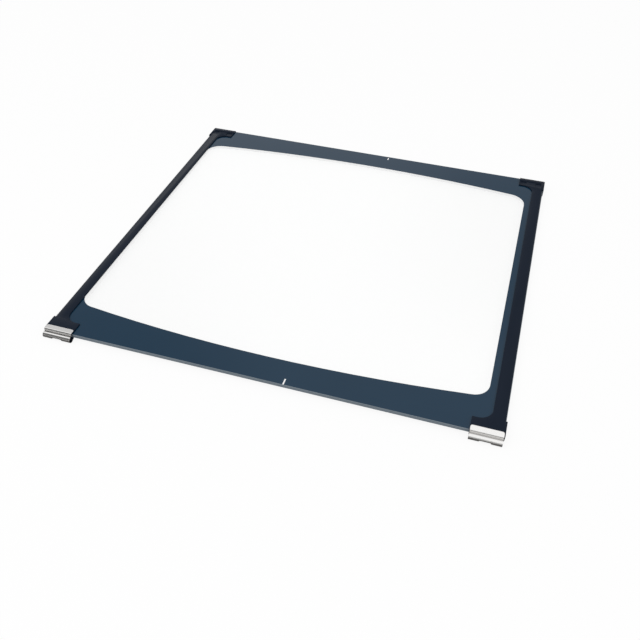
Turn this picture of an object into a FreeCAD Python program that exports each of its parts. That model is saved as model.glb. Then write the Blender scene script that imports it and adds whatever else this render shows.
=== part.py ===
import FreeCAD, Part
import Sketcher
import math
import os
import re

# Oven door glass: a toughened inner pane with a black enamel border, a moulded trim
# along each side that hooks round the corners, and a sprung metal clip on each of
# the two corners at the lower edge of the pane.
#
# Every sketch is drawn in the frame of the pane: X across it, Y towards its upper
# edge, Z out of the printed face, with zero at the middle of that face. The whole
# part is then moved up and along, so that it stands on the plane Z = 0 with the
# middle of its outline over the origin.

# Driving dimensions, in millimetres and degrees.
SIZES = {
    # pane
    "glass_width": 477.0,
    "glass_height": 453.0,
    "glass_thickness": 4.0,
    "glass_corner_radius": 6.0,
    "glass_edge_round": 0.5,
    # enamel border and its clear window
    "print_inset": 0.6,
    "print_thickness": 0.15,
    "window_left_margin": 12.9,
    "window_right_margin": 20.6,
    "window_end_margin": 31.8,
    "window_bow_radius": 1723.0,
    "window_far_radius": 20.0,
    "window_near_radius": 17.0,
    "tick_offset": 24.8,
    "tick_length": 7.6,
    "tick_width": 1.5,
    # side trims
    "bar_width": 12.8,
    "bar_height": 1.4,
    "slope_width": 2.4,
    "slope_drop": 1.1,
    "leg_reach": 18.3,
    "far_leg_depth": 17.6,
    "near_leg_depth": 15.1,
    "leg_tip_flat": 5.3,
    "rim_width": 8.8,
    "rim_height": 0.6,
    "rim_setback": 4.6,
    "rim_back_width": 6.0,
    "rim_back_radius": 11.5,
    "pocket_length": 8.0,
    "pocket_inset": 2.6,
    "pocket_depth": 0.8,
    "pocket_border": 1.4,
    "pocket_radius": 1.5,
    # hoods round the corners of the pane
    "fit_gap": 0.1,
    "hood_wall": 1.0,
    "far_hood_run": 22.3,
    "near_hood_run": 18.5,
    "hood_corner_radius": 3.0,
    "hood_edge_round": 1.0,
    "lip_reach": 9.0,
    "lip_thickness": 1.4,
    "standoff": 3.9,
    # spring clips
    "clip_margin": 0.3,
    "clip_thickness": 0.5,
    "clip_flange": 4.2,
    "clip_corner_radius": 2.0,
    "clip_neck_radius": 0.35,
    "clip_reach": 6.8,
    "clip_roll_radius": 3.5,
    "clip_tail_angle": 22.0,
    "clip_tail_length": 4.0,
    "clip_foot": 8.0,
}

doc = FreeCAD.newDocument("oven_door_glass")
sheet = doc.addObject("Spreadsheet::Sheet", "Sizes")
for row, (alias, amount) in enumerate(SIZES.items(), start=1):
    sheet.set(f"A{row}", alias)
    sheet.set(f"B{row}", str(amount))
    sheet.setAlias(f"B{row}", alias)
doc.recompute()

# Formulas over the sheet, shared by several pieces.
PRINT_EDGE_X = "(glass_width / 2 - print_inset)"
PRINT_EDGE_Y = "(glass_height / 2 - print_inset)"
CAVITY_X = "(glass_width / 2 + fit_gap)"
CAVITY_Y = "(glass_height / 2 + fit_gap)"
HOOD_X = "(glass_width / 2 + fit_gap + hood_wall)"
HOOD_Y = "(glass_height / 2 + fit_gap + hood_wall)"
BAR_INNER = f"({PRINT_EDGE_X} - bar_width)"
LEG_TIP_X = f"({BAR_INNER} - leg_reach)"
BAR_TOP = "(print_thickness + bar_height)"
RIM_TOP = f"({BAR_TOP} + rim_height)"
LIP_TOP = "(glass_thickness + fit_gap)"
LIP_BOTTOM = "(glass_thickness + fit_gap + lip_thickness)"
FLOOR = "(glass_thickness + standoff)"
SHIFT_Y = "(clip_reach - fit_gap - hood_wall) / 2"


def over_sheet(formula):
    """Write a formula of bare size names as one that reads the sheet."""
    return re.sub(r"[a-z_]{2,}", lambda word: "Sizes." + word.group(), formula)


def number(formula):
    """The present value of a formula."""
    result = sheet.evalExpression(over_sheet(formula))
    return float(getattr(result, "Value", result))


def new_body(label):
    """A body that is placed with the rest of the part on the floor plane."""
    body = doc.addObject("PartDesign::Body", label)
    body.Label = label
    body.setExpression("Placement.Base.y", over_sheet(SHIFT_Y))
    body.setExpression("Placement.Base.z", over_sheet(FLOOR))
    return body


def new_sketch(body, name, role="XY_Plane", level="0"):
    """A sketch on one of the body's origin planes, raised along its normal."""
    plane = next(item for item in body.Origin.OriginFeatures if item.Role == role)
    sketch = body.newObject("Sketcher::SketchObject", name)
    sketch.AttachmentSupport = [(plane, "")]
    sketch.MapMode = "FlatFace"
    sketch.setExpression("AttachmentOffset.Base.z", over_sheet(level))
    return sketch


def hold(sketch, kind, formula, *geometry):
    """Add a dimension to the sketch and tie it to a formula."""
    index = sketch.addConstraint(Sketcher.Constraint(kind, *geometry, number(formula)))
    sketch.setExpression(f"Constraints[{index}]", over_sheet(formula))


def draw_polygon(sketch, corners):
    """A closed outline of straight lines, each corner held by two formulas."""
    points = [FreeCAD.Vector(number(x), number(y), 0) for x, y in corners]
    first = len(sketch.Geometry)
    for here, there in zip(points, points[1:] + points[:1]):
        sketch.addGeometry(Part.LineSegment(here, there), False)
    for step, (x, y) in enumerate(corners):
        line = first + step
        after = first + (step + 1) % len(corners)
        sketch.addConstraint(Sketcher.Constraint("Coincident", line, 2, after, 1))
        hold(sketch, "DistanceX", x, -1, 1, line, 1)
        hold(sketch, "DistanceY", y, -1, 1, line, 1)


def draw_rectangle(sketch, low_x, low_y, high_x, high_y):
    """A rectangle between two opposite corners."""
    draw_polygon(sketch, [(low_x, low_y), (high_x, low_y), (high_x, high_y), (low_x, high_y)])


def pad(body, name, sketch, length, down=False):
    """Extrude a sketch along its normal, or against it."""
    feature = body.newObject("PartDesign::Pad", name)
    feature.Profile = sketch
    feature.setExpression("Length", over_sheet(length))
    feature.Reversed = down
    return feature


def pocket(body, name, sketch, depth=None, forward=False):
    """Cut a sketch into the body against its normal, or right through with no depth."""
    doc.recompute()
    before = body.Shape.Volume
    feature = body.newObject("PartDesign::Pocket", name)
    feature.Profile = sketch
    feature.Reversed = forward
    if depth is None:
        feature.Type = "ThroughAll"
    else:
        feature.setExpression("Length", over_sheet(depth))
    doc.recompute()
    if not body.Shape.Volume < before:
        raise RuntimeError(f"{name} cuts nothing")
    return feature


def upright_at(x, y):
    """A test for the straight upright edge that stands at one point of the plan."""
    def test(edge):
        box = edge.BoundBox
        thin = box.XLength < 1e-6 and box.YLength < 1e-6
        return thin and math.hypot(box.XMin - x, box.YMin - y) < 1e-3
    return test


def passing(x, y, z):
    """A test for the edges that pass through one point."""
    spot = Part.Vertex(x, y, z)

    def test(edge):
        return edge.distToShape(spot)[0] < 1e-4
    return test


def round_edges(body, name, radius, *tests):
    """Fillet the edges of the body's present shape that pass one of the tests."""
    doc.recompute()
    base = body.Tip
    edges = [
        f"Edge{index}"
        for index, edge in enumerate(base.Shape.Edges, start=1)
        if any(test(edge) for test in tests)
    ]
    if not edges:
        raise RuntimeError(f"{name} finds no edge")
    feature = body.newObject("PartDesign::Fillet", name)
    feature.Base = (base, edges)
    feature.setExpression("Radius", over_sheet(radius))
    doc.recompute()
    return feature


def build_glass():
    """Toughened pane with rounded corners and a seamed edge."""
    body = new_body("glass_pane")
    outline = new_sketch(body, "pane_outline")
    half_x = "glass_width / 2"
    half_y = "glass_height / 2"
    draw_rectangle(outline, f"-{half_x}", f"-{half_y}", half_x, half_y)
    pad(body, "pane", outline, "glass_thickness", down=True)
    corners = [
        upright_at(side * number(half_x), end * number(half_y))
        for side in (-1, 1)
        for end in (-1, 1)
    ]
    round_edges(body, "pane_corners", "glass_corner_radius", *corners)
    round_edges(body, "seamed_edge", "glass_edge_round", lambda edge: edge.BoundBox.ZLength < 1e-6)
    return body


def draw_window(sketch):
    """Clear window: straight sides, and ends that bow outwards on a large arc."""
    left = "-(glass_width / 2 - window_left_margin)"
    right = "(glass_width / 2 - window_right_margin)"
    apex = "(glass_height / 2 - window_end_margin)"
    radius = number("window_bow_radius")
    level = number(apex) - radius

    def bow(x):
        return level + math.sqrt(radius * radius - x * x)

    x_left = number(left)
    x_right = number(right)
    normal = FreeCAD.Vector(0, 0, 1)
    far_left = FreeCAD.Vector(x_left, bow(x_left), 0)
    far_right = FreeCAD.Vector(x_right, bow(x_right), 0)
    near_left = FreeCAD.Vector(x_left, -bow(x_left), 0)
    near_right = FreeCAD.Vector(x_right, -bow(x_right), 0)

    far_circle = Part.Circle(FreeCAD.Vector(0, level, 0), normal, radius)
    near_circle = Part.Circle(FreeCAD.Vector(0, -level, 0), normal, radius)

    def arc(circle, start, end):
        return Part.ArcOfCircle(circle, circle.parameter(start), circle.parameter(end))

    side_right = sketch.addGeometry(Part.LineSegment(near_right, far_right), False)
    bow_far = sketch.addGeometry(arc(far_circle, far_right, far_left), False)
    side_left = sketch.addGeometry(Part.LineSegment(far_left, near_left), False)
    bow_near = sketch.addGeometry(arc(near_circle, near_left, near_right), False)
    loop = [side_right, bow_far, side_left, bow_near]
    for here, after in zip(loop, loop[1:] + loop[:1]):
        sketch.addConstraint(Sketcher.Constraint("Coincident", here, 2, after, 1))
    sketch.addConstraint(Sketcher.Constraint("Vertical", side_left))
    sketch.addConstraint(Sketcher.Constraint("Vertical", side_right))
    hold(sketch, "DistanceX", right, -1, 1, side_right, 1)
    hold(sketch, "DistanceX", left, -1, 1, side_left, 1)
    hold(sketch, "Radius", "window_bow_radius", bow_far)
    hold(sketch, "Radius", "window_bow_radius", bow_near)
    for bowed, sign in ((bow_far, ""), (bow_near, "-")):
        hold(sketch, "DistanceX", "0", -1, 1, bowed, 3)
        hold(sketch, "DistanceY", f"{sign}({apex} - window_bow_radius)", -1, 1, bowed, 3)
    return (far_left, far_right), (near_left, near_right)


def build_print():
    """Black enamel border, fired on the upper face of the pane."""
    body = new_body("enamel_border")
    outline = new_sketch(body, "print_outline")
    draw_rectangle(outline, f"-{PRINT_EDGE_X}", f"-{PRINT_EDGE_Y}", PRINT_EDGE_X, PRINT_EDGE_Y)
    pad(body, "print", outline, "print_thickness")

    window = new_sketch(body, "window_outline", level="print_thickness")
    far_corners, near_corners = draw_window(window)
    pocket(body, "window", window)
    for end, corners in (("far", far_corners), ("near", near_corners)):
        tests = [upright_at(corner.x, corner.y) for corner in corners]
        round_edges(body, f"window_{end}_corners", f"window_{end}_radius", *tests)

    ticks = new_sketch(body, "tick_outlines", level="print_thickness")
    tick_low = "(tick_offset - tick_width / 2)"
    tick_high = "(tick_offset + tick_width / 2)"
    tick_end = f"({PRINT_EDGE_Y} - tick_length)"
    draw_rectangle(ticks, tick_low, tick_end, tick_high, f"({PRINT_EDGE_Y} + print_inset)")
    draw_rectangle(ticks, tick_low, f"-({PRINT_EDGE_Y} + print_inset)", tick_high, f"-{tick_end}")
    pocket(body, "ticks", ticks)
    return body


def draw_back(sketch):
    """What the rounded back of the rim leaves out: a corner below an arc."""
    start = f"({HOOD_Y} - rim_back_width)"
    centre_level = f"({RIM_TOP} - rim_back_radius)"
    radius = number("rim_back_radius")
    width = number("rim_back_width")
    centre = FreeCAD.Vector(number(start), number(centre_level), 0)
    crest = FreeCAD.Vector(number(start), number(RIM_TOP), 0)
    corner = FreeCAD.Vector(number(HOOD_Y), number(RIM_TOP), 0)
    foot = FreeCAD.Vector(number(HOOD_Y), centre.y + math.sqrt(radius * radius - width * width), 0)
    circle = Part.Circle(centre, FreeCAD.Vector(0, 0, 1), radius)
    curve = sketch.addGeometry(
        Part.ArcOfCircle(circle, circle.parameter(foot), circle.parameter(crest)), False)
    top = sketch.addGeometry(Part.LineSegment(crest, corner), False)
    end = sketch.addGeometry(Part.LineSegment(corner, foot), False)
    sketch.addConstraint(Sketcher.Constraint("Tangent", curve, 2, top, 1))
    for here, after in ((top, end), (end, curve)):
        sketch.addConstraint(Sketcher.Constraint("Coincident", here, 2, after, 1))
    sketch.addConstraint(Sketcher.Constraint("Vertical", end))
    hold(sketch, "Radius", "rim_back_radius", curve)
    hold(sketch, "DistanceX", start, -1, 1, curve, 3)
    hold(sketch, "DistanceY", centre_level, -1, 1, curve, 3)
    hold(sketch, "DistanceX", HOOD_Y, -1, 1, top, 2)
    hold(sketch, "DistanceY", RIM_TOP, -1, 1, top, 2)


def build_trim(label, side):
    """Side trim: a flat bar on the print, with a hooked hood round each corner."""
    body = new_body(label)

    def across(formula):
        """A distance from the middle of the pane, taken to this trim's side."""
        return f"{side} * {formula}"

    far_leg = f"({PRINT_EDGE_Y} - far_leg_depth)"
    near_leg = f"({PRINT_EDGE_Y} - near_leg_depth)"
    far_hood = "(glass_height / 2 - far_hood_run)"
    near_hood = "(glass_height / 2 - near_hood_run)"

    # bar, with the legs that run in along the ends of the pane
    bar = new_sketch(body, "bar_outline", level="print_thickness")
    draw_polygon(bar, [
        (across(LEG_TIP_X), f"-{HOOD_Y}"),
        (across(HOOD_X), f"-{HOOD_Y}"),
        (across(HOOD_X), f"-{near_hood}"),
        (across(PRINT_EDGE_X), f"-{near_hood}"),
        (across(PRINT_EDGE_X), far_hood),
        (across(HOOD_X), far_hood),
        (across(HOOD_X), HOOD_Y),
        (across(LEG_TIP_X), HOOD_Y),
        (across(LEG_TIP_X), far_leg),
        (across(BAR_INNER), far_leg),
        (across(BAR_INNER), f"-{near_leg}"),
        (across(LEG_TIP_X), f"-{near_leg}"),
    ])
    pad(body, "bar", bar, "bar_height")
    inner_x = side * number(BAR_INNER)
    inner_corners = [upright_at(inner_x, number(far_leg)), upright_at(inner_x, -number(near_leg))]
    round_edges(body, "inner_corners", "leg_reach - leg_tip_flat", *inner_corners)

    # walls of the hoods, down past the edge of the pane
    for name, end, run in (("far", "", far_hood), ("near", "-", near_hood)):
        wall = new_sketch(body, f"{name}_wall_outline", level="print_thickness")
        draw_polygon(wall, [
            (across(LEG_TIP_X), f"{end}{HOOD_Y}"),
            (across(HOOD_X), f"{end}{HOOD_Y}"),
            (across(HOOD_X), f"{end}{run}"),
            (across(CAVITY_X), f"{end}{run}"),
            (across(CAVITY_X), f"{end}{CAVITY_Y}"),
            (across(LEG_TIP_X), f"{end}{CAVITY_Y}"),
        ])
        pad(body, f"{name}_wall", wall, f"print_thickness + {LIP_BOTTOM}", down=True)

    # lips under the pane, and the feet under the two far corners
    lip_inner_x = "(glass_width / 2 - lip_reach)"
    lip_inner_y = "(glass_height / 2 - lip_reach)"
    drops = {"far": "(standoff - fit_gap)", "near": "lip_thickness"}
    for name, end, run in (("far", "", far_hood), ("near", "-", near_hood)):
        lip = new_sketch(body, f"{name}_lip_outline", level=f"-{LIP_TOP}")
        draw_polygon(lip, [
            (across(LEG_TIP_X), f"{end}{HOOD_Y}"),
            (across(HOOD_X), f"{end}{HOOD_Y}"),
            (across(HOOD_X), f"{end}{run}"),
            (across(lip_inner_x), f"{end}{run}"),
            (across(lip_inner_x), f"{end}{lip_inner_y}"),
            (across(LEG_TIP_X), f"{end}{lip_inner_y}"),
        ])
        pad(body, f"{name}_lip", lip, drops[name], down=True)

    # rounded outside of the hoods
    corner_x = side * number(HOOD_X)
    corner_y = number(HOOD_Y)
    outer_corners = [upright_at(corner_x, end * corner_y) for end in (-1, 1)]
    round_edges(body, "hood_corners", "hood_corner_radius", *outer_corners)
    edge_x = side * (number(LEG_TIP_X) + number("leg_reach") / 2)
    outer_edges = [passing(edge_x, end * corner_y, number(BAR_TOP)) for end in (-1, 1)]
    round_edges(body, "hood_edges", "hood_edge_round", *outer_edges)

    # raised rim along the far end, rounded down over its back
    rim = new_sketch(body, "rim_outline", level=BAR_TOP)
    rim_inner = f"({HOOD_Y} - rim_width)"
    draw_rectangle(rim, across(LEG_TIP_X), rim_inner, across(f"({HOOD_X} - rim_setback)"), HOOD_Y)
    pad(body, "rim", rim, "rim_height")
    back = new_sketch(body, "back_outline", role="YZ_Plane", level=across(LEG_TIP_X))
    draw_back(back)
    pocket(body, "back", back, forward=side > 0)

    # slope down to the print along the outer edge of the bar
    slope = new_sketch(body, "slope_outline", role="XZ_Plane", level=near_hood)
    draw_polygon(slope, [
        (across(f"({PRINT_EDGE_X} - slope_width)"), BAR_TOP),
        (across(PRINT_EDGE_X), BAR_TOP),
        (across(PRINT_EDGE_X), f"({BAR_TOP} - slope_drop)"),
    ])
    pocket(body, "slope", slope, f"{far_hood} + {near_hood}")

    # two shallow pockets in the top of the far leg
    cups = new_sketch(body, "cup_outlines", level=BAR_TOP)
    cup_low_y = f"({far_leg} + pocket_border)"
    cup_high_y = f"({rim_inner} - pocket_border)"
    cup_corners = []
    for cup_low_x in (f"({LEG_TIP_X} + pocket_border)", f"({BAR_INNER} + pocket_inset)"):
        cup_high_x = f"({cup_low_x} + pocket_length)"
        draw_rectangle(cups, across(cup_low_x), cup_low_y, across(cup_high_x), cup_high_y)
        cup_corners += [
            upright_at(side * number(x), number(y))
            for x in (cup_low_x, cup_high_x)
            for y in (cup_low_y, cup_high_y)
        ]
    pocket(body, "cups", cups, "pocket_depth")
    round_edges(body, "cup_corners", "pocket_radius", *cup_corners)
    return body


def build_clip(label, side):
    """Spring clip: one strip, bent over the corner and rolled into a bumper."""
    body = new_body(label)
    half = "clip_thickness / 2"
    flange_end = "(glass_height / 2 - print_inset - clip_flange)"
    flange_level = f"({BAR_TOP} + {half})"
    wall_line = f"({HOOD_Y} + {half})"
    bend_radius = f"(hood_edge_round + {half})"
    neck_radius = f"(clip_neck_radius + {half})"
    roll_radius = f"(clip_roll_radius - {half})"
    roll_line = "(glass_height / 2 + clip_reach - clip_roll_radius)"
    roll_level = f"(clip_roll_radius - {FLOOR})"

    # tangent points of the strip's middle line
    flange_z = number(flange_level)
    wall_y = -number(wall_line)
    bend = number(bend_radius)
    neck = number(neck_radius)
    roll = number(roll_radius)
    roll_y = -number(roll_line)
    roll_z = number(roll_level)
    neck_y = wall_y - neck
    neck_z = roll_z + math.sqrt((roll + neck) ** 2 - (neck_y - roll_y) ** 2)
    lean = math.atan2(neck_z - roll_z, neck_y - roll_y)
    tail_turn = 1.5 * math.pi + math.radians(number("clip_tail_angle"))
    heading = tail_turn + math.pi / 2

    def point(across, up):
        return FreeCAD.Vector(across, up, 0)

    def turn(across, up, radius, start, end):
        circle = Part.Circle(point(across, up), FreeCAD.Vector(0, 0, 1), radius)
        return Part.ArcOfCircle(circle, start, end)

    tail_start = point(roll_y + roll * math.cos(tail_turn), roll_z + roll * math.sin(tail_turn))
    tail_run = point(math.cos(heading), math.sin(heading)) * number("clip_tail_length")

    path = new_sketch(body, "strip_path", role="YZ_Plane")
    flange = path.addGeometry(Part.LineSegment(
        point(-number(flange_end), flange_z), point(wall_y + bend, flange_z)), False)
    shoulder = path.addGeometry(turn(wall_y + bend, flange_z - bend, bend, math.pi / 2, math.pi), False)
    wall = path.addGeometry(Part.LineSegment(
        point(wall_y, flange_z - bend), point(wall_y, neck_z)), False)
    neck_bend = path.addGeometry(turn(neck_y, neck_z, neck, lean - math.pi, 0), False)
    bumper = path.addGeometry(turn(roll_y, roll_z, roll, lean, tail_turn), False)
    tail = path.addGeometry(Part.LineSegment(tail_start, tail_start + tail_run), False)

    joints = (
        (flange, 2, shoulder, 1),
        (shoulder, 2, wall, 1),
        (wall, 2, neck_bend, 2),
        (neck_bend, 1, bumper, 1),
        (bumper, 2, tail, 1),
    )
    for joint in joints:
        path.addConstraint(Sketcher.Constraint("Tangent", *joint))
    path.addConstraint(Sketcher.Constraint("Horizontal", flange))
    path.addConstraint(Sketcher.Constraint("Vertical", wall))
    hold(path, "DistanceX", f"-{flange_end}", -1, 1, flange, 1)
    hold(path, "DistanceY", flange_level, -1, 1, flange, 1)
    hold(path, "DistanceX", f"-{wall_line}", -1, 1, wall, 1)
    hold(path, "Radius", bend_radius, shoulder)
    hold(path, "Radius", neck_radius, neck_bend)
    hold(path, "Radius", roll_radius, bumper)
    hold(path, "DistanceX", f"-{roll_line}", -1, 1, bumper, 3)
    hold(path, "DistanceY", roll_level, -1, 1, bumper, 3)
    hold(path, "Distance", "clip_tail_length", tail)
    rise = path.addConstraint(Sketcher.Constraint("Angle", tail, math.radians(number("clip_tail_angle"))))
    path.setExpression(f"Constraints[{rise}]", "Sizes.clip_tail_angle * 1 deg")

    section = new_sketch(body, "strip_section", role="XZ_Plane", level=flange_end)
    clip_start = f"({LEG_TIP_X} + clip_margin)"
    clip_end = "(glass_width / 2)"
    draw_rectangle(
        section,
        f"{side} * {clip_start}", BAR_TOP,
        f"{side} * {clip_end}", f"({BAR_TOP} + clip_thickness)",
    )
    doc.recompute()
    strip = body.newObject("PartDesign::AdditivePipe", "strip")
    strip.Profile = section
    strip.Spine = path
    flange_corners = [
        upright_at(side * number(x), -number(flange_end)) for x in (clip_start, clip_end)
    ]
    round_edges(body, "flange_corners", "clip_corner_radius", *flange_corners)

    # notch that leaves a foot at each end of the tail
    notch = new_sketch(body, "notch_outline", level=roll_level)
    draw_rectangle(
        notch,
        f"{side} * ({clip_start} + clip_foot)", "-(glass_height / 2 + clip_reach + clip_thickness)",
        f"{side} * ({clip_end} - clip_foot)", "-(glass_height / 2 - lip_reach - clip_tail_length)",
    )
    pocket(body, "notch", notch)
    return body


pieces = [
    build_glass(),
    build_print(),
    build_trim("side_trim_left", -1),
    build_trim("side_trim_right", 1),
    build_clip("spring_clip_left", -1),
    build_clip("spring_clip_right", 1),
]
doc.recompute()

for item in doc.Objects:
    if "Invalid" in item.State or "Error" in item.State:
        raise RuntimeError(f"{item.Label} failed: {item.State}")
for piece in pieces:
    if piece.Shape.isNull() or not piece.Shape.isValid():
        raise RuntimeError(f"{piece.Label} has no valid shape")

os.makedirs("parts", exist_ok=True)
for piece in pieces:
    piece.Shape.exportStep(f"parts/{piece.Label}.step")
    box = piece.Shape.BoundBox
    print(piece.Label, len(piece.Shape.Solids), round(piece.Shape.Volume, 1), box)
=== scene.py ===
# %% [markdown]
# # The glass of an oven door
#
# The object is the inner pane of an oven door, lying flat on a white table. It is a
# sheet of toughened glass with a border of navy-black enamel, a moulded trim along each
# side that hooks round the corners, and a rolled spring clip on each near corner.
#
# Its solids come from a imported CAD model. Loading it first fixes the frame: every piece
# that this script makes goes straight to its place in metres, and nothing is fitted by
# eye afterwards.

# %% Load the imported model
import math

import bmesh
import bpy
from mathutils import Matrix, Vector


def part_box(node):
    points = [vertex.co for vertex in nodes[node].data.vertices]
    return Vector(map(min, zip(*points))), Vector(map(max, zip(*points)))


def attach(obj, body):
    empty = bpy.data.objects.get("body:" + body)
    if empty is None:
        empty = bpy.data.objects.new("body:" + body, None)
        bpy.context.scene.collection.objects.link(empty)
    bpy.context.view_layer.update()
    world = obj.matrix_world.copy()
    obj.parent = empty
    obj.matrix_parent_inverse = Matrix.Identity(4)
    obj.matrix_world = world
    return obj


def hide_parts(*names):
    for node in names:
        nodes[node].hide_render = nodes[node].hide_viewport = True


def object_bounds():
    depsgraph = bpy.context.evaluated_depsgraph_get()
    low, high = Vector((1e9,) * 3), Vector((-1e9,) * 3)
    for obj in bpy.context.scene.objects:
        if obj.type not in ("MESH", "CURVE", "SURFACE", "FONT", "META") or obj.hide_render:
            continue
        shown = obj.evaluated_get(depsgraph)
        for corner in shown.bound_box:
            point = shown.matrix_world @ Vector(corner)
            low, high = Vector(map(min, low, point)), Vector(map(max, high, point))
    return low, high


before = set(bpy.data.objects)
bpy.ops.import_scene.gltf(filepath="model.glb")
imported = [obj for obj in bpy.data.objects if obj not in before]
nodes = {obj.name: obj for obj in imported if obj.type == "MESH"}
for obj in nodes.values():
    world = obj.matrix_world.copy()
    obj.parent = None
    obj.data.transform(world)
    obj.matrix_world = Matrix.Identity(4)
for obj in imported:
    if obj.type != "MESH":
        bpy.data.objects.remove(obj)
cad_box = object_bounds()
MM = 0.001
print("nodes:", sorted(nodes))

# %% [markdown]
# ## The camera
#
# The photograph looks down on the pane from the front and a little to the right. A
# camera can be placed by eye, or solved from straight edges whose real shape is known.
# Here seven straight edges of the pane, its trims and its print are in view, each at
# its own height, so it was solved from them. Its place is given in widths of the
# printed border, measured from the middle of that border, so it stays right if the
# part is ever made in another size.

# %% Camera
print_low, print_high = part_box("enamel_border")
print_width = print_high.x - print_low.x
middle = (print_low + print_high) / 2
glass_low, glass_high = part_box("glass_pane")
target = Vector((middle.x, middle.y, glass_high.z))

CAMERA_IN_WIDTHS = Vector((0.4143, -1.4292, 1.1186))
AZIMUTH = math.radians(16.617)
ELEVATION = math.radians(42.653)
ROLL = math.radians(-0.776)
LENS_MM = 41.42
SENSOR_MM = 36

forward = Vector((
    -math.sin(AZIMUTH) * math.cos(ELEVATION),
    math.cos(AZIMUTH) * math.cos(ELEVATION),
    -math.sin(ELEVATION),
))
level_right = Vector((math.cos(AZIMUTH), math.sin(AZIMUTH), 0))
level_down = forward.cross(level_right)
image_right = math.cos(ROLL) * level_right + math.sin(ROLL) * level_down
image_down = math.cos(ROLL) * level_down - math.sin(ROLL) * level_right

camera_data = bpy.data.cameras.new("camera")
camera_data.lens = LENS_MM
camera_data.sensor_width = SENSOR_MM
camera = bpy.data.objects.new("camera", camera_data)
bpy.context.scene.collection.objects.link(camera)
turn = Matrix((image_right, -image_down, -forward)).transposed()
place = target + CAMERA_IN_WIDTHS * print_width
camera.matrix_world = Matrix.Translation(place) @ turn.to_4x4()
bpy.context.scene.camera = camera
print("camera at", [round(value, 3) for value in place])


# %% [markdown]
# ## Writing node trees as sums
#
# Finishes and Geometry Nodes are both trees of nodes. Wiring each Math node by hand
# hides the sum that it stands for. A small class that holds one socket and answers to
# Python's own operators lets a rule be written as it would be on paper, and one method
# adds every other kind of node.

# %% A sum over sockets, and a tree to write it in
class Amount:
    """A number that changes over a surface, for use in ordinary sums."""

    def __init__(self, tree, socket):
        self.tree = tree
        self.socket = socket

    def worked(self, operation, *terms):
        """What a Math node makes of the terms, in their order."""
        sockets = dict(enumerate(terms))
        node = self.tree.node("ShaderNodeMath", {"operation": operation}, sockets)
        return Amount(self.tree, node.outputs[0])

    def __add__(self, other):
        return self.worked("ADD", self, other)

    def __radd__(self, other):
        return self.worked("ADD", other, self)

    def __sub__(self, other):
        return self.worked("SUBTRACT", self, other)

    def __rsub__(self, other):
        return self.worked("SUBTRACT", other, self)

    def __mul__(self, other):
        return self.worked("MULTIPLY", self, other)

    def __rmul__(self, other):
        return self.worked("MULTIPLY", other, self)

    def __truediv__(self, other):
        return self.worked("DIVIDE", self, other)

    def __gt__(self, other):
        return self.worked("GREATER_THAN", self, other)

    def __abs__(self):
        return self.worked("ABSOLUTE", self)

    def root(self):
        return self.worked("SQRT", self)

    def at_least(self, other):
        return self.worked("MAXIMUM", self, other)

    def ramp(self, start, stop):
        """Nought before start, one after stop, and a smooth rise between them."""
        settings = {"interpolation_type": "SMOOTHSTEP"}
        sockets = {0: self, 1: start, 2: stop}
        node = self.tree.node("ShaderNodeMapRange", settings, sockets)
        return Amount(self.tree, node.outputs[0])


class Tree:
    """A node tree that is being written."""

    def __init__(self, tree):
        self.tree = tree
        self.tree.nodes.clear()

    def node(self, kind, settings=None, sockets=None):
        """A new node, with its settings made first and then its sockets filled."""
        node = self.tree.nodes.new(kind)
        for setting, value in (settings or {}).items():
            setattr(node, setting, value)
        for name, value in (sockets or {}).items():
            if isinstance(value, Amount):
                value = value.socket
            if isinstance(value, bpy.types.NodeSocket):
                self.tree.links.new(value, node.inputs[name])
            else:
                node.inputs[name].default_value = value
        return node


class Finish(Tree):
    """A material, with the places that its patterns are laid out in."""

    def __init__(self, name):
        self.material = bpy.data.materials.new(name)
        self.material.use_nodes = True
        super().__init__(self.material.node_tree)
        self.object_place = self.node("ShaderNodeTexCoord").outputs["Object"]

    def axes(self):
        """The three coordinates of a place, in metres."""
        parts = self.node("ShaderNodeSeparateXYZ", sockets={0: self.object_place})
        return [Amount(self, socket) for socket in parts.outputs]

    def noise(self, grains_per_metre, detail=2.0, stretch=(1, 1, 1)):
        scaled = self.node("ShaderNodeMapping", sockets={
            "Vector": self.object_place,
            "Scale": stretch,
        })
        grains = self.node("ShaderNodeTexNoise", sockets={
            "Vector": scaled.outputs[0],
            "Scale": grains_per_metre,
            "Detail": detail,
        })
        return Amount(self, grains.outputs[0])

    def blend(self, amount, first, second):
        """A colour between two others, each three numbers or another blend."""
        first, second = (
            (*colour, 1) if isinstance(colour, tuple) else colour
            for colour in (first, second))
        sockets = {0: amount, 6: first, 7: second}
        return self.node("ShaderNodeMix", {"data_type": "RGBA"}, sockets).outputs[2]

    def bump(self, height, depth_mm, strength=1.0):
        sockets = {"Height": height, "Distance": depth_mm * MM, "Strength": strength}
        return self.node("ShaderNodeBump", sockets=sockets).outputs[0]

    def skin(self, **sockets):
        """A Principled shader, whose sockets are named with _ for each space."""
        named = {name.replace("_", " "): value for name, value in sockets.items()}
        return self.node("ShaderNodeBsdfPrincipled", sockets=named).outputs[0]

    def mixed(self, amount, first, second):
        sockets = {0: amount, 1: first, 2: second}
        return self.node("ShaderNodeMixShader", sockets=sockets).outputs[0]

    def finish(self, shader):
        self.node("ShaderNodeOutputMaterial", sockets={"Surface": shader})
        return self.material


print("a sum such as 1 - mask now adds its own Math nodes")

# %% [markdown]
# ## Toughened glass
#
# The pane is clear float glass with ground edges. A clear pane could be a transparent
# shader with a gloss on top, but then its edge would look hollow, so it is real
# refraction. Refraction alone blocks the light on its way to the table, and the table
# under the window would turn grey, so shadow rays and diffuse rays pass straight
# through. The ground edge is a second skin, chosen by how far a point lies from the
# middle of the pane.

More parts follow.
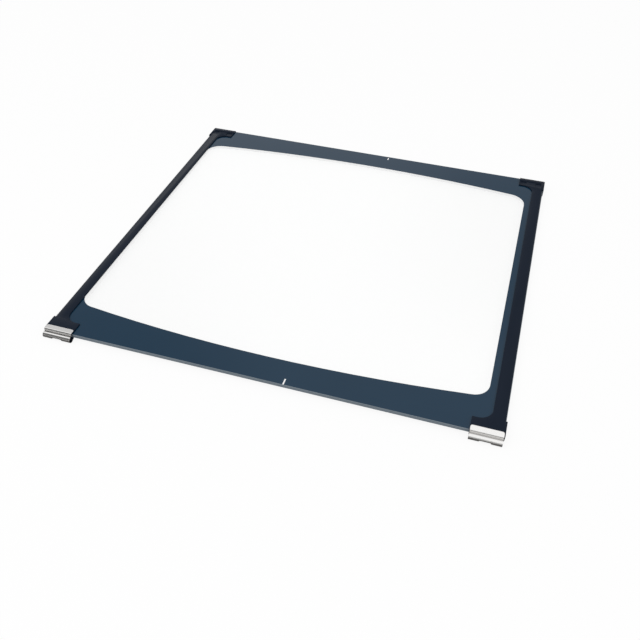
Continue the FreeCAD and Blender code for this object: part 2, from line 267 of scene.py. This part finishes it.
# %% Finish of the glass
GROUND_BAND_MM = 0.6
GLASS_IOR = 1.5
CLEAR_GLASS = (0.997, 1.0, 0.998, 1)
GROUND_TONES = (0.115, 0.145, 0.175), (0.20, 0.235, 0.265)
GRINDING_DEPTH_MM = 0.05

glass = Finish("toughened glass")
across, along, _ = glass.axes()
half_across = (glass_high.x - glass_low.x) / 2
half_along = (glass_high.y - glass_low.y) / 2
past_side = abs(across) > half_across - GROUND_BAND_MM * MM
past_end = abs(along - middle.y) > half_along - GROUND_BAND_MM * MM
ground = past_side.at_least(past_end)

clear_skin = glass.skin(
    Base_Color=CLEAR_GLASS,
    Roughness=0.0,
    IOR=GLASS_IOR,
    Transmission_Weight=1.0,
)
grinding = glass.noise(900, detail=4, stretch=(1, 1, 3))
ground_skin = glass.skin(
    Base_Color=glass.blend(grinding, *GROUND_TONES),
    Roughness=grinding * 0.2 + 0.35,
    IOR=GLASS_IOR,
    Normal=glass.bump(grinding, GRINDING_DEPTH_MM),
)
light_path = glass.node("ShaderNodeLightPath")
is_shadow = Amount(glass, light_path.outputs["Is Shadow Ray"])
is_diffuse = Amount(glass, light_path.outputs["Is Diffuse Ray"])
passing = is_shadow.at_least(is_diffuse) * (1 - ground)
open_way = glass.node("ShaderNodeBsdfTransparent").outputs[0]
pane_skin = glass.mixed(ground, clear_skin, ground_skin)
toughened_glass = glass.finish(glass.mixed(passing, pane_skin, open_way))
print("glass", round(half_across * 2, 4), "x", round(half_along * 2, 4))

# %% [markdown]
# ## Black enamel
#
# The border is ceramic enamel, printed on the glass and fired until it melts. It is
# nearly as smooth as the glass, with the faint orange-peel of a melted surface, and its
# black leans to navy where it catches the light. A plain black would lose that colour,
# so the base is a deep blue that a soft noise varies a little.

# %% Finish of the enamel
NAVY_TONES = (0.0020, 0.0245, 0.053), (0.0045, 0.0305, 0.063)
PEEL_DEPTH_MM = 0.02

enamel = Finish("fired enamel")
cloud = enamel.noise(9, detail=3)
peel = enamel.noise(420, detail=1)
fired_enamel = enamel.finish(enamel.skin(
    Base_Color=enamel.blend(cloud, *NAVY_TONES),
    Roughness=cloud * 0.05 + 0.06,
    Specular_IOR_Level=0.29,
    Normal=enamel.bump(peel, PEEL_DEPTH_MM, strength=0.12),
))
print("enamel ready")

# %% [markdown]
# ## Moulded plastic
#
# The side trims are moulded from black heat-resistant plastic with a fine satin grain.
# The grain is a shallow bump whose grains are about a quarter of a millimetre wide, and
# the mould leaves slow changes of tone and gloss along the bar. Both come from noises on
# object coordinates, because a moulded part has no seams for a pattern to follow.

# %% Finish of the trims
PLASTIC_TONES = (0.0065, 0.0115, 0.0220), (0.0115, 0.0170, 0.0290)
GRAIN_DEPTH_MM = 0.03

trim = Finish("moulded plastic")
grain = trim.noise(4200, detail=2)
flow = trim.noise(45, detail=2, stretch=(1, 0.25, 1))
moulded_plastic = trim.finish(trim.skin(
    Base_Color=trim.blend(flow, *PLASTIC_TONES),
    Roughness=flow * 0.16 + 0.2,
    Specular_IOR_Level=0.05,
    Normal=trim.bump(grain, GRAIN_DEPTH_MM, strength=0.6),
))
print("plastic ready")

# %% [markdown]
# ## Rolled spring steel
#
# The clips are cut from bright strip. Rolling leaves fine lines along the strip, which
# run round the bends with it, so they change only across the piece. A noise that is
# stretched to nothing along two axes gives just that. The neck carries painted shade: a
# dull brown line, picked out by its height above the table, stands in for its shade.

# %% Finish of the clips
NECK_SHADE_SPAN_MM = (6.85, 7.1, 7.25, 7.7)
BRIGHT_TONES = (0.86, 0.85, 0.835), (0.94, 0.935, 0.925)
NECK_SHADE_BROWN = (0.13, 0.115, 0.105)
ROLLING_DEPTH_MM = 0.012

steel = Finish("spring steel")
rolling = steel.noise(2600, detail=3, stretch=(1, 0.02, 0.02))
tarnish_and_shade = steel.noise(160, detail=2)
_, _, height = steel.axes()
below, full, fading, above = (value * MM for value in NECK_SHADE_SPAN_MM)
# Painted shade: between these heights the colour turns dull brown, in place of the shade
# in the neck's crease.
painted_neck_shade = height.ramp(below, full) * (1 - height.ramp(fading, above))
neck_shade_amount = painted_neck_shade * (tarnish_and_shade * 0.4 + 0.7)
bright_colour = steel.blend(tarnish_and_shade, *BRIGHT_TONES)
spring_steel = steel.finish(steel.skin(
    Base_Color=steel.blend(neck_shade_amount, bright_colour, NECK_SHADE_BROWN),
    Metallic=1.0,
    Roughness=rolling * 0.08 + tarnish_and_shade * 0.05 + 0.08,
    Normal=steel.bump(rolling, ROLLING_DEPTH_MM, strength=0.35),
))
print("steel ready")


# %% [markdown]
# ## The pane and its border
#
# Both are flat and exact in the CAD model, so they stay as they are and only take their
# finishes.

# %% Dress the pane and the border
def dress(name, material):
    mesh = nodes[name].data
    mesh.materials.clear()
    mesh.materials.append(material)


dress("glass_pane", toughened_glass)
dress("enamel_border", fired_enamel)
print("border", round(print_width, 4), "wide")

# %% [markdown]
# ## Side trims with softened edges
#
# A CAD solid has knife edges, and a moulding has none: the mould rounds them by a few
# tenths of a millimetre, and that is what catches the light. The imported mesh is loose
# triangles, so a copy is merged and its flat faces are joined before a Bevel modifier
# rounds what is left. The copy is shown in place of the solid, which is hidden. The
# copy stands for the solid, which stays for collision.

# %% Soften the trims
EDGE_SOFTNESS_MM = 0.22
SAME_POINT_MM = 0.001
FLAT_WITHIN = math.radians(0.5)
ROUNDED_ABOVE = math.radians(40)
SHARP_ABOVE = math.radians(35)


def joined_copy(name, new_name):
    """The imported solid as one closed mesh, with its flat faces whole."""
    mesh = nodes[name].data.copy()
    mesh.name = new_name
    shape = bmesh.new()
    shape.from_mesh(mesh)
    bmesh.ops.remove_doubles(shape, verts=shape.verts, dist=SAME_POINT_MM * MM)
    bmesh.ops.dissolve_limit(
        shape, angle_limit=FLAT_WITHIN, verts=shape.verts, edges=shape.edges)
    bmesh.ops.recalc_face_normals(shape, faces=shape.faces)
    shape.to_mesh(mesh)
    shape.free()
    return mesh


def new_piece(name, mesh):
    piece = bpy.data.objects.new(name, mesh)
    bpy.context.scene.collection.objects.link(piece)
    return piece


def baked(piece):
    """The piece with its modifiers turned into a plain mesh."""
    evaluated = piece.evaluated_get(bpy.context.evaluated_depsgraph_get())
    mesh = bpy.data.meshes.new_from_object(evaluated)
    mesh.name = piece.name
    piece.modifiers.clear()
    piece.data = mesh
    return mesh


for side in ("left", "right"):
    node_name = f"side_trim_{side}"
    piece_name = f"moulded_trim_{side}"
    trim_piece = new_piece(piece_name, joined_copy(node_name, piece_name))
    trim_piece.data.materials.clear()
    trim_piece.data.materials.append(moulded_plastic)
    rounding = trim_piece.modifiers.new("rounding", "BEVEL")
    rounding.width = EDGE_SOFTNESS_MM * MM
    rounding.segments = 2
    rounding.limit_method = "ANGLE"
    rounding.angle_limit = ROUNDED_ABOVE
    softened = baked(trim_piece)
    softened.set_sharp_from_angle(angle=SHARP_ABOVE)
    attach(trim_piece, "root")
    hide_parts(node_name)
    print(node_name, len(softened.polygons), "faces")

# %% [markdown]
# ## Spring clips
#
# Each clip is one strip: a flange on the trim, a bend down the hood, and a roll below
# it that takes up play in the door. Its end is cut away in the middle, so that it
# stands on two feet. A strip that follows a path is a rule, so Geometry Nodes make it:
# a flat grid is laid along the path, row by row, and the length of each column is
# shortened in the middle by a smooth wave. The path itself is worked out from the same
# sizes as the solid.

# %% Path of the strip, seen from the side
trim_low, trim_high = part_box("side_trim_right")
clip_low, clip_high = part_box("spring_clip_right")
STRIP_MM = 0.5
BEND_MM = 1.25
NECK_MM = 0.6
ROLL_MM = 3.25
TAIL_MM = 4.0
TAIL_TURN = math.radians(22)
STEP_MM = 0.12

strip_top = clip_high.z / MM - STRIP_MM / 2
flange_end = clip_high.y / MM
wall_y = trim_low.y / MM - STRIP_MM / 2
roll_y = clip_low.y / MM + STRIP_MM / 2 + ROLL_MM
roll_z = STRIP_MM / 2 + ROLL_MM
neck_y = wall_y - NECK_MM
neck_z = roll_z + math.sqrt((ROLL_MM + NECK_MM) ** 2 - (neck_y - roll_y) ** 2)
lean = math.atan2(neck_z - roll_z, neck_y - roll_y)
tail_turn = 1.5 * math.pi + TAIL_TURN


def arc(centre_y, centre_z, radius, start, stop):
    """Points of an arc, a step apart."""
    count = max(3, math.ceil(abs(stop - start) * radius / STEP_MM))
    turns = [start + (stop - start) * step / count for step in range(count + 1)]
    return [
        (centre_y + radius * math.cos(turn), centre_z + radius * math.sin(turn))
        for turn in turns]


bend = arc(wall_y + BEND_MM, strip_top - BEND_MM, BEND_MM, math.pi / 2, math.pi)
neck = arc(neck_y, neck_z, NECK_MM, 0, lean - math.pi)
roll = arc(roll_y, roll_z, ROLL_MM, lean, tail_turn)
tail_y = roll[-1][0] - TAIL_MM * math.sin(tail_turn)
tail_z = roll[-1][1] + TAIL_MM * math.cos(tail_turn)
side_view = [(flange_end, strip_top), *bend, *neck, *roll, (tail_y, tail_z)]

path_data = bpy.data.curves.new("strip_path", "CURVE")
path_data.dimensions = "3D"
spline = path_data.splines.new("POLY")
spline.points.add(len(side_view) - 1)
for point, (y, z) in zip(spline.points, side_view):
    point.co = (0, y * MM, z * MM, 1)
strip_path = bpy.data.objects.new("strip_path", path_data)
bpy.context.scene.collection.objects.link(strip_path)
strip_length = spline.calc_length()
print("strip", round(strip_length / MM, 1), "mm long")

# %% Tree that lays a strip along a path
strip_tree = bpy.data.node_groups.new("strip along a path", "GeometryNodeTree")
inputs = {
    "Path": "NodeSocketObject",
    "Start": "NodeSocketFloat",
    "End": "NodeSocketFloat",
    "Length": "NodeSocketFloat",
    "Corner": "NodeSocketFloat",
    "Foot": "NodeSocketFloat",
    "Wave": "NodeSocketFloat",
    "Notch": "NodeSocketFloat",
    "Steady": "NodeSocketFloat",
    "Columns": "NodeSocketInt",
    "Rows": "NodeSocketInt",
    "Metal": "NodeSocketMaterial",
}
strip_tree.interface.new_socket(
    "Geometry", in_out="OUTPUT", socket_type="NodeSocketGeometry")
identifiers = {}
for name, kind in inputs.items():
    socket = strip_tree.interface.new_socket(name, in_out="INPUT", socket_type=kind)
    identifiers[name] = socket.identifier

strip = Tree(strip_tree)
given = strip.node("NodeGroupInput").outputs
start, end, length, corner = (
    Amount(strip, given[name]) for name in ("Start", "End", "Length", "Corner"))
foot, wave, notch, steady = (
    Amount(strip, given[name]) for name in ("Foot", "Wave", "Notch", "Steady"))

flat = strip.node("GeometryNodeMeshGrid", sockets={
    "Size X": 1.0,
    "Size Y": 1.0,
    "Vertices X": given["Columns"],
    "Vertices Y": given["Rows"],
})
place_in_grid = strip.node("GeometryNodeInputPosition").outputs[0]
grid_axes = strip.node("ShaderNodeSeparateXYZ", sockets={0: place_in_grid})
column = Amount(strip, grid_axes.outputs[0]) + 0.5
row = 0.5 - Amount(strip, grid_axes.outputs[1])

width = end - start
from_start = column * width
from_end = width - from_start
past_first_foot = from_start.ramp(foot - wave, foot + wave)
before_last_foot = from_end.ramp(foot - wave, foot + wave)
middle_part = past_first_foot * before_last_foot
past_steady = (row - steady).at_least(0) / (1 - steady)
distance = row * length - notch * middle_part * past_steady
short_of_corner = (corner - distance).at_least(0)
corner_inset = corner - (corner * corner - short_of_corner * short_of_corner).root()
narrowing = (width - 2 * corner_inset) * (column - 0.5)
across_strip = (start + end) * 0.5 + narrowing

path_in = strip.node("GeometryNodeObjectInfo", sockets={"Object": given["Path"]})
by_length = {"mode": "LENGTH", "use_all_curves": True}
reading = strip.node("GeometryNodeSampleCurve", by_length, {
    "Curves": path_in.outputs["Geometry"],
    "Length": distance,
})
on_path = strip.node("ShaderNodeSeparateXYZ", sockets={0: reading.outputs["Position"]})
laid_place = strip.node("ShaderNodeCombineXYZ", sockets={
    "X": across_strip,
    "Y": on_path.outputs[1],
    "Z": on_path.outputs[2],
})
laid = strip.node("GeometryNodeSetPosition", sockets={
    "Geometry": flat.outputs["Mesh"],
    "Position": laid_place.outputs[0],
})
real = strip.node("GeometryNodeRealizeInstances", sockets={0: laid.outputs[0]})
metal = strip.node("GeometryNodeSetMaterial", sockets={
    "Geometry": real.outputs[0],
    "Material": given["Metal"],
})
strip.node("NodeGroupOutput", sockets={0: metal.outputs[0]})
print("strip tree has", len(strip_tree.nodes), "nodes")

# %% Lay the two strips and give them their thickness
CORNER_MM = 2.0
FOOT_MM = 9.0
WAVE_MM = 1.8
NOTCH_MM = 10.35
STRIP_EDGE_MM = 0.12
CUT_EDGE_ABOVE = math.radians(50)

clip_starts = {"left": -clip_high.x, "right": clip_low.x}
clip_width = clip_high.x - clip_low.x

for side, clip_start in clip_starts.items():
    node_name = f"spring_clip_{side}"
    piece_name = f"rolled_clip_{side}"
    clip_piece = new_piece(piece_name, bpy.data.meshes.new(piece_name))
    laying = clip_piece.modifiers.new("laying", "NODES")
    laying.node_group = strip_tree
    amounts = {
        "Path": strip_path,
        "Start": clip_start,
        "End": clip_start + clip_width,
        "Length": strip_length,
        "Corner": CORNER_MM * MM,
        "Foot": FOOT_MM * MM,
        "Wave": WAVE_MM * MM,
        "Notch": NOTCH_MM * MM,
        "Steady": 0.4,
        "Columns": 73,
        "Rows": 110,
        "Metal": spring_steel,
    }
    for name, value in amounts.items():
        laying[identifiers[name]] = value
    wall = clip_piece.modifiers.new("wall", "SOLIDIFY")
    wall.thickness = STRIP_MM * MM
    wall.offset = 0
    wall.use_even_offset = True
    edges = clip_piece.modifiers.new("edges", "BEVEL")
    edges.width = STRIP_EDGE_MM * MM
    edges.segments = 2
    edges.angle_limit = CUT_EDGE_ABOVE
    clip_mesh = baked(clip_piece)
    clip_shape = bmesh.new()
    clip_shape.from_mesh(clip_mesh)
    bmesh.ops.remove_doubles(
        clip_shape, verts=clip_shape.verts, dist=SAME_POINT_MM * MM)
    bmesh.ops.recalc_face_normals(clip_shape, faces=clip_shape.faces)
    clip_shape.to_mesh(clip_mesh)
    clip_shape.free()
    clip_mesh.shade_smooth()
    clip_mesh.set_sharp_from_angle(angle=CUT_EDGE_ABOVE)
    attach(clip_piece, "root")
    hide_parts(node_name)
    print(node_name, len(clip_mesh.polygons), "faces")

bpy.data.objects.remove(strip_path)

# %% [markdown]
# ## Table, world and lamps
#
# The photograph has a pure white ground with hardly a shadow. Turning the lamps up
# until the table burns out would wash the object out as well. So the table is a white
# surface that shows most of its own light to the camera and to whatever is seen through
# the glass, and the rest of it is lit in the ordinary way, which keeps a soft shadow.
# The bright clips mirror the strip of table right beside them, so in reflections that
# strip takes a painted shadow, which clears within a hand's width.

# %% Table
TABLE_HALF = 6.0
TABLE_GLOW = 0.9
WHITE = (1, 1, 1, 1)
LAMPLIT = (0.9, 0.9, 0.9, 1)
IN_SHADE = (0.035, 0.032, 0.03, 1)
SHADE_IN_METAL = 0.9
SHADE_MM = (20.0, 90.0)


def ways_of_seeing(tree):
    """Whether a ray comes from the camera, off a surface, or through glass."""
    rays = tree.node("ShaderNodeLightPath")
    seen, off_surface, through = (
        Amount(tree, rays.outputs[f"Is {name} Ray"])
        for name in ("Camera", "Glossy", "Transmission"))
    return seen, off_surface * (1 - through), through


table = Finish("white table")
seen, mirrored, through = ways_of_seeing(table)
lit = table.skin(Base_Color=LAMPLIT, Roughness=0.7, Specular_IOR_Level=0.2)
shaded = table.skin(Base_Color=IN_SHADE, Roughness=0.9, Specular_IOR_Level=0.0)
glow = table.node("ShaderNodeEmission", sockets={"Color": WHITE, "Strength": 1.0})
on_table_x, on_table_y, _ = table.axes()
half_width, half_depth, _ = cad_box[1]
outside = (abs(on_table_x) - half_width).at_least(abs(on_table_y) - half_depth)
cleared = outside.ramp(*(value * MM for value in SHADE_MM))
# Painted shadow: in reflections the table near the object takes the dark IN_SHADE colour,
# fading out between 20 and 90 mm from it.
painted_shadow = (1 - cleared) * mirrored * SHADE_IN_METAL
lit_or_shaded = table.mixed(painted_shadow, lit, shaded)
glowing = seen.at_least(through) * TABLE_GLOW
white_table = table.finish(table.mixed(glowing, lit_or_shaded, glow.outputs[0]))

table_mesh = bpy.data.meshes.new("table")
table_corners = [(-1, -1), (1, -1), (1, 1), (-1, 1)]
table_points = [(x * TABLE_HALF, y * TABLE_HALF, 0) for x, y in table_corners]
table_mesh.from_pydata(table_points, [], [(0, 1, 2, 3)])
table_mesh.materials.append(white_table)
table_object = new_piece("table", table_mesh)
print("table", 2 * TABLE_HALF, "m wide")

# %% [markdown]
# A bright metal shows only what stands round it, and in an even white room it would look
# like card. Studios hang a dark panel, called a flag, where the metal mirrors it. Here
# a large one covers the left, which draws the grey bands on the left clip and leaves
# the right one bright. A fainter one stands low in front, and the faintest, behind the
# pane to the right, deepens the enamel there. So the world is white wherever it is
# seen, a little dimmer as a light, and has flags in reflections alone.
#
# A direction is three numbers from -1 to 1: how far it points to the right, to the back
# and upwards. Each edge of a flag is the span of one of them over which it fades.

# %% World
LIGHT_LEVEL = 0.8
FLAG_DARKNESS = 0.85
LEFT_EDGE = (-0.45, -0.2)
LEFT_BACK_EDGE = (-0.36, -0.22)
VEIL_FRONT_EDGE = (0.25, 0.45)
VEIL_BACK_EDGE = (0.6, 0.8)
VEIL_SHARE = 0.45
FRONT_EDGE = (-0.45, -0.1)
FRONT_TOP_EDGE = (0.0, 0.75)
FRONT_SHARE = 0.9
RIGHT_EDGE = (-0.2, 0.02)
RIGHT_FRONT_EDGE = (0.3, 0.5)
RIGHT_TOP_EDGE = (0.6, 0.74)
RIGHT_SHARE = 0.4

world = bpy.data.worlds.new("studio")
bpy.context.scene.world = world
world.use_nodes = True
studio = Tree(world.node_tree)
direction = studio.node("ShaderNodeTexCoord").outputs["Generated"]
ways = studio.node("ShaderNodeSeparateXYZ", sockets={0: direction})
to_right, to_back, upwards = (Amount(studio, socket) for socket in ways.outputs)
seen, mirrored, through = ways_of_seeing(studio)

to_left = 1 - to_right.ramp(*LEFT_EDGE)
left_flag = to_left * (1 - to_back.ramp(*LEFT_BACK_EDGE))
veil = to_left * to_back.ramp(*VEIL_FRONT_EDGE) * (1 - to_back.ramp(*VEIL_BACK_EDGE))
front_flag = (1 - to_back.ramp(*FRONT_EDGE)) * (1 - upwards.ramp(*FRONT_TOP_EDGE))
behind_right = to_right.ramp(*RIGHT_EDGE) * to_back.ramp(*RIGHT_FRONT_EDGE)
right_flag = behind_right * (1 - upwards.ramp(*RIGHT_TOP_EDGE))
flags = left_flag.at_least(veil * VEIL_SHARE).at_least(front_flag * FRONT_SHARE)
flags = flags.at_least(right_flag * RIGHT_SHARE) * mirrored
level = seen.at_least(mirrored).at_least(through) * (1 - LIGHT_LEVEL) + LIGHT_LEVEL
sky = studio.node("ShaderNodeBackground", sockets={
    "Color": WHITE,
    "Strength": level - flags * FLAG_DARKNESS,
})
studio.node("ShaderNodeOutputWorld", sockets={"Surface": sky.outputs[0]})
print("world level", LIGHT_LEVEL)


# %% [markdown]
# Two large square lamps give the soft light of a studio, the key from the left in front
# and a weaker fill from the right. Small ones would throw hard shadows. They are hidden
# from reflections, because the clips would mirror them as white patches.

# %% Lamps
def softbox(name, position, size, power):
    """A square lamp that faces the middle of the pane."""
    lamp = bpy.data.lights.new(name, "AREA")
    lamp.shape = "SQUARE"
    lamp.size = size
    lamp.energy = power
    holder = bpy.data.objects.new(name, lamp)
    holder.location = position
    facing = target - Vector(position)
    holder.rotation_euler = facing.to_track_quat("-Z", "Y").to_euler()
    holder.visible_glossy = False
    bpy.context.scene.collection.objects.link(holder)


softbox("key", position=(-1.0, -1.0, 1.6), size=1.3, power=10.0)
softbox("fill", position=(1.6, -0.4, 1.3), size=1.1, power=4.0)
bpy.context.scene.view_settings.view_transform = "Standard"
print("lamps ready")
